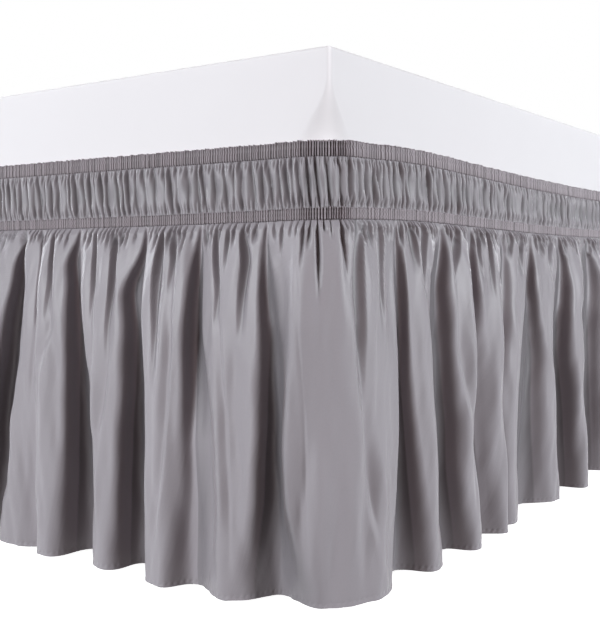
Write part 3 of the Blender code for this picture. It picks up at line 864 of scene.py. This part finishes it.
def make_band(name, node, top, bottom, column, stitch_rows, look, seed):
    """An elastic band, gathered into fine upright ribs, with its rows of stitching drawn in."""
    chance = random.Random(seed)
    starts, station = [], FIRST_SHOWN
    while station < PERIMETER + FIRST_SHOWN - 0.001:
        starts.append(station)
        station += (RIB_PITCH if station < NEXT_VALLEY else PLAIN_RIB_PITCH) * chance.uniform(0.78, 1.22)
    starts = np.array(starts)
    widths = np.diff(np.append(starts, starts[0] + PERIMETER))
    count = len(starts)
    strength = np.array([chance.uniform(0.65, 1.10) for _ in range(count)])
    shape = np.array([0.0, 0.55, 1.0, 0.50])
    stations = (starts[:, None] + widths[:, None] * np.array([0.0, 0.30, 0.55, 0.80])).ravel()
    ridge = (strength[:, None] * shape).ravel()
    scallop = np.repeat(np.array([chance.uniform(0.4, 1.0) for _ in range(count)]), 4) * np.tile(shape, count)
    height = top - bottom
    # The band's section, from its inner top edge: reach, share of its height, and how deeply it is ribbed
    edge = BAND_OUTER - BAND_ROUNDING
    profile = [(BAND_INNER, 1.0, 0.0), (BAND_INNER + 0.0016, 1.0, 0.4), (edge, 0.985, 0.9)]
    for row in sorted({0.86, 0.5, 0.14, *stitch_rows}, reverse=True):
        profile.append((BAND_OUTER - STITCH_DEPTH, row, 0.8) if row in stitch_rows else (BAND_OUTER, row, 1.0))
    profile += [(edge, 0.015, 0.9), (BAND_INNER, 0.0, 0.0)]
    points, flats, painted_shades = [], [], []
    lift = band_lift(stations, column)
    for reach, row, ribbed in profile:
        # Painted shade between the ribs, deepest where the band is most ribbed
        painted_shades.append(np.clip(1 - ridge / 0.9, 0, 1) * ribbed)
        out = reach + (ridge - 0.4) * RIB_DEPTH * ribbed
        plan = place_on_walls(stations, CORNER_RADIUS, out)
        level = bottom + height * row + lift
        if row > 0.97:
            level = level + SCALLOP_HEIGHT * (scallop - 0.35)
        points.append(np.column_stack((plan, level)))
        flats.append(np.column_stack((stations, np.full(len(stations), height * row))))
    piece = ring_object(name, np.array(points), np.array(flats))
    dress(piece, look, np.array(painted_shades))
    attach(piece, "root")
    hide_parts(node)


COVER_EDGE = 0.004
EDGE_STEPS = 6
ARC_STEPS = 16
WALL_STEPS = 19


def make_bed_cover(look):
    """The white cover of the box spring. Its corners are square at the top, and pressed round by the bands."""
    arc, edge = ARC_STEPS, COVER_EDGE
    # Rings from the lower edge to the upper one: height, radius of the corners, and reach
    angles = [math.radians(90) * step / EDGE_STEPS for step in range(EDGE_STEPS + 1)]
    rings = []
    for angle in angles:
        rings.append((BED_BOTTOM + edge * (1 - math.cos(angle)), CORNER_RADIUS, -edge * (1 - math.sin(angle))))
    for step in range(arc + 1):
        share = step / arc
        pressed = CORNER_RADIUS + (SQUARE_RADIUS - CORNER_RADIUS) * smoothstep(share)
        rings.append((SKIRT_TOP - 0.004 + PRESSED_HEIGHT * share, pressed, 0.0))
    rings.append((BED_TOP - 0.012, SQUARE_RADIUS, 0.0))
    for angle in angles:
        rings.append((BED_TOP - edge * (1 - math.sin(angle)), SQUARE_RADIUS, -edge * (1 - math.cos(angle))))
    mesh = bpy.data.meshes.new("bed_cover")
    shell = bmesh.new()
    rows, painted_corner_light = [], []
    for height, radius, reach in rings:
        stations, start = [], 0.0
        for length in WALL_LENGTHS:
            stations += [start + radius * step / arc for step in range(-arc, arc + 1)]
            stations += list(start + length * np.linspace(0.05, 0.95, WALL_STEPS))
            start += length
        plan = place_on_walls(np.array(stations), radius, np.full(len(stations), reach))
        rows.append([shell.verts.new((x, y, height)) for x, y in plan])
        to_corner = np.abs((np.array(stations)[:, None] - np.cumsum((0.0, *WALL_LENGTHS))) / radius).min(axis=1)
        # Painted light on the cover, fullest at each corner and gone one corner radius along the wall
        painted_corner_light.append(1 - smoothstep(to_corner))
    for lower, upper in zip(rows, rows[1:]):
        for here in range(len(lower)):
            there = (here + 1) % len(lower)
            shell.faces.new((lower[here], lower[there], upper[there], upper[here]))
    shell.faces.new(rows[-1])
    shell.faces.new(rows[0][::-1])
    shell.to_mesh(mesh)
    shell.free()
    mesh.shade_smooth()
    mesh.set_sharp_from_angle(angle=math.radians(50))
    piece = add_object("bed_cover", mesh)
    dress(piece, look, np.concatenate(painted_corner_light))
    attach(piece, "root")
    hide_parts("box_spring")


# --- Materials ---


class Look:
    """A material's nodes, added one at a time."""

    def __init__(self, name):
        self.material = bpy.data.materials.new(name)
        self.material.use_nodes = True
        self.tree = self.material.node_tree
        self.shader = self.tree.nodes["Principled BSDF"]

    def node(self, kind, **sockets):
        made = self.tree.nodes.new(kind)
        for name, value in sockets.items():
            self.set(made, name, value)
        return made

    def set(self, node, name, value):
        socket = node.inputs[name.replace("_", " ")]
        if isinstance(value, bpy.types.NodeSocket):
            self.tree.links.new(value, socket)
        else:
            socket.default_value = value

    def finish(self, **sockets):
        """Set the shader's own sockets."""
        for name, value in sockets.items():
            self.set(self.shader, name, value)

    def stretched(self, source, scale):
        mapping = self.node("ShaderNodeMapping", Vector=source)
        mapping.inputs["Scale"].default_value = scale
        return mapping.outputs["Vector"]

    def noise(self, where, scale, detail=2.0, roughness=0.5):
        made = self.node("ShaderNodeTexNoise", Vector=where, Scale=scale, Detail=detail, Roughness=roughness)
        return made.outputs["Fac"]

    def ramp(self, value, low, high):
        made = self.node("ShaderNodeMapRange", Value=value)
        made.inputs["To Min"].default_value = low
        made.inputs["To Max"].default_value = high
        return made.outputs["Result"]

    def times(self, first, second):
        made = self.node("ShaderNodeMath")
        made.operation = "MULTIPLY"
        self.tree.links.new(first, made.inputs[0])
        self.tree.links.new(second, made.inputs[1])
        return made.outputs["Value"]

    def bump(self, height, distance, strength=1.0, before=None):
        made = self.node("ShaderNodeBump", Height=height, Distance=distance, Strength=strength)
        if before is not None:
            self.tree.links.new(before, made.inputs["Normal"])
        return made.outputs["Normal"]

    def shaded(self, colour, value):
        """The colour, made lighter and darker by a value near 1."""
        made = self.node("ShaderNodeHueSaturation", Value=value)
        made.inputs["Color"].default_value = (*colour, 1.0)
        return made.outputs["Color"]


CLOTH_GREY = (0.274, 0.253, 0.273)
ELASTIC_GREY = (0.330, 0.291, 0.314)
SHEEN_TINT = (0.95, 0.94, 1.0, 1.0)
# Painted light: the white cover is made paler round the bed's corners, where they would be in shade
COVER_WHITE = (0.713, 0.690, 0.704)
COVER_PAINTED_CORNER_LIGHT = 1.20
LEG_GREY = (0.09, 0.09, 0.095)


def cloth_look(name, colour, roughness, sheen, darkest_painted_shade):
    look = Look(name)
    cloth = look.node("ShaderNodeUVMap")
    cloth.uv_map = "cloth"
    flat = cloth.outputs["UV"]
    # Each texture comes with how often it repeats in a metre, round the bed and down
    patches = look.noise(look.stretched(flat, (9.0, 5.0, 1.0)), 1.0, 3.0)
    streaks = look.noise(look.stretched(flat, (260.0, 9.0, 1.0)), 1.0, 2.0)
    threads = look.noise(look.stretched(flat, (1900.0, 420.0, 1.0)), 1.0, 1.0)
    picks = look.noise(look.stretched(flat, (420.0, 1900.0, 1.0)), 1.0, 1.0)
    value = look.times(look.ramp(patches, 0.955, 1.045), look.ramp(threads, 0.95, 1.05))
    # Painted shade: the colour is darkened in crevices, down to the darkest shade that this look is given
    painted_shading = look.node("ShaderNodeAttribute")
    painted_shading.attribute_name = "painted_shading"
    value = look.times(value, look.ramp(painted_shading.outputs["Fac"], 1.0, darkest_painted_shade))
    base = look.shaded(colour, value)
    normal = look.bump(streaks, 0.00030, 0.6)
    normal = look.bump(threads, 0.00005, 0.7, normal)
    normal = look.bump(picks, 0.00004, 0.6, normal)
    look.finish(Base_Color=base, Normal=normal, Roughness=roughness, Specular_IOR_Level=0.40)
    look.finish(Sheen_Weight=sheen, Sheen_Roughness=0.30, Sheen_Tint=SHEEN_TINT)
    return look.material


def cover_look():
    look = Look("white woven cover")
    place = look.node("ShaderNodeTexCoord").outputs["Object"]
    weave = look.noise(place, 1500.0, 1.0)
    mottle = look.noise(place, 14.0, 3.0)
    painted_light_node = look.node("ShaderNodeAttribute")
    painted_light_node.attribute_name = "painted_shading"
    # Painted light makes the cover paler near the bed's corners
    value = look.times(look.ramp(mottle, 0.985, 1.015), look.ramp(painted_light_node.outputs["Fac"], 1.0, COVER_PAINTED_CORNER_LIGHT))
    base, normal = look.shaded(COVER_WHITE, value), look.bump(weave, 0.00008, 0.6)
    look.finish(Base_Color=base, Normal=normal, Roughness=0.85, Sheen_Weight=0.15)
    return look.material


def leg_look():
    look = Look("dark grey plastic")
    place = look.node("ShaderNodeTexCoord").outputs["Object"]
    grain = look.noise(place, 900.0, 2.0)
    base = look.shaded(LEG_GREY, look.ramp(grain, 0.85, 1.15))
    look.finish(Base_Color=base, Normal=look.bump(grain, 0.0001, 0.5), Roughness=0.5)
    return look.material


# --- The studio ---


WHITE = (1.0, 1.0, 1.0, 1.0)


def aim(thing, target):
    way = np.array(target) - np.array(thing.location)
    flat = math.hypot(way[0], way[1])
    thing.rotation_euler = (math.atan2(flat, -way[2]), 0.0, math.atan2(-way[0], way[1]))


def soft_light(name, place, target, width, height, power, colour):
    lamp = bpy.data.lights.new(name, "AREA")
    lamp.color = colour
    lamp.shape = "RECTANGLE"
    lamp.size, lamp.size_y = width, height
    lamp.energy = power
    made = add_object(name, lamp)
    made.location = place
    aim(made, target)


def make_studio():
    mesh = bpy.data.meshes.new("floor")
    mesh.from_pydata([(-9, -9, 0), (9, -9, 0), (9, 9, 0), (-9, 9, 0)], [], [(0, 1, 2, 3)])
    floor = add_object("floor", mesh)
    floor.visible_diffuse = False
    look = Look("pale floor")
    look.finish(Base_Color=(0.88, 0.88, 0.88, 1.0), Roughness=0.9, Specular_IOR_Level=0.1)
    look.finish(Emission_Color=WHITE, Emission_Strength=1.0)
    mesh.materials.append(look.material)

    world = bpy.data.worlds.new("studio")
    world.use_nodes = True
    background = world.node_tree.nodes["Background"]
    background.inputs["Color"].default_value = WHITE
    background.inputs["Strength"].default_value = 1.0
    world.cycles_visibility.diffuse = False
    world.cycles_visibility.glossy = False
    bpy.context.scene.world = world
    bpy.context.scene.view_settings.view_transform = "Standard"

    # One softbox for each wall, off to one side of it, so that the folds' other flanks fall into shade
    side, level = 1.7, 1.25
    cool, warm = (0.92, 0.965, 1.0), (1.0, 0.62, 0.54)
    for name, across, along, target, power in (
        ("foot softbox", HALF_WIDTH - 1.25, -HALF_LENGTH - 3.7, (0.2, -HALF_LENGTH, 0.25), 196),
        ("right softbox", HALF_WIDTH + 3.7, -HALF_LENGTH + 1.35, (HALF_WIDTH, -0.6, 0.25), 201),
        ("head softbox", HALF_WIDTH - 0.4, HALF_LENGTH + 3.7, (0.0, HALF_LENGTH, 0.25), 196),
        ("left softbox", -HALF_WIDTH - 3.7, -0.8, (-HALF_WIDTH, 0.2, 0.25), 201),
    ):
        soft_light(name, (across, along, level), target, side, side, power, cool)
    soft_light("ceiling", (0.0, -0.4, 3.4), (0.0, -0.4, 0.0), 2.0, 3.0, 6, warm)
    before_corner, corner = (HALF_WIDTH + 2.3, -HALF_LENGTH - 3.1, 1.0), (HALF_WIDTH, -HALF_LENGTH, 0.2)
    soft_light("front fill", before_corner, corner, 2.0, 2.0, 17, warm)


def make_camera():
    """The photograph's viewpoint: low, off the corner at +X -Y."""
    lens = bpy.data.cameras.new("camera")
    lens.sensor_width = 36.0
    lens.lens = 53.75
    camera = add_object("camera", lens)
    camera.location = (HALF_WIDTH + 0.437, -HALF_LENGTH - 0.657, 0.314)
    camera.rotation_euler = (math.radians(90 - 3.48), 0.0, math.radians(35.43))
    bpy.context.scene.camera = camera


def main():
    make_camera()
    make_studio()
    # The last number of each cloth look is how dark its painted shade in crevices goes
    silk = cloth_look("grey microfibre", CLOTH_GREY, 0.48, 0.65, 0.44)
    elastic = cloth_look("gathered elastic", ELASTIC_GREY, 0.60, 0.20, 0.12)
    make_drop(silk)
    make_heading(silk)
    level = (SKIRT_TOP, UPPER_BAND_BOTTOM, UPPER)
    make_band("upper_band_ribs", "upper_elastic_band", *level, (0.66,), elastic, 41)
    level = (LOWER_BAND_TOP, LOWER_BAND_BOTTOM, LOWER)
    make_band("lower_band_ribs", "lower_elastic_band", *level, (0.3, 0.72), elastic, 42)
    make_bed_cover(cover_look())
    leg = leg_look()
    for name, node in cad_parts.items():
        if name.startswith("leg_"):
            node.data.materials.clear()
            node.data.materials.append(leg)


main()
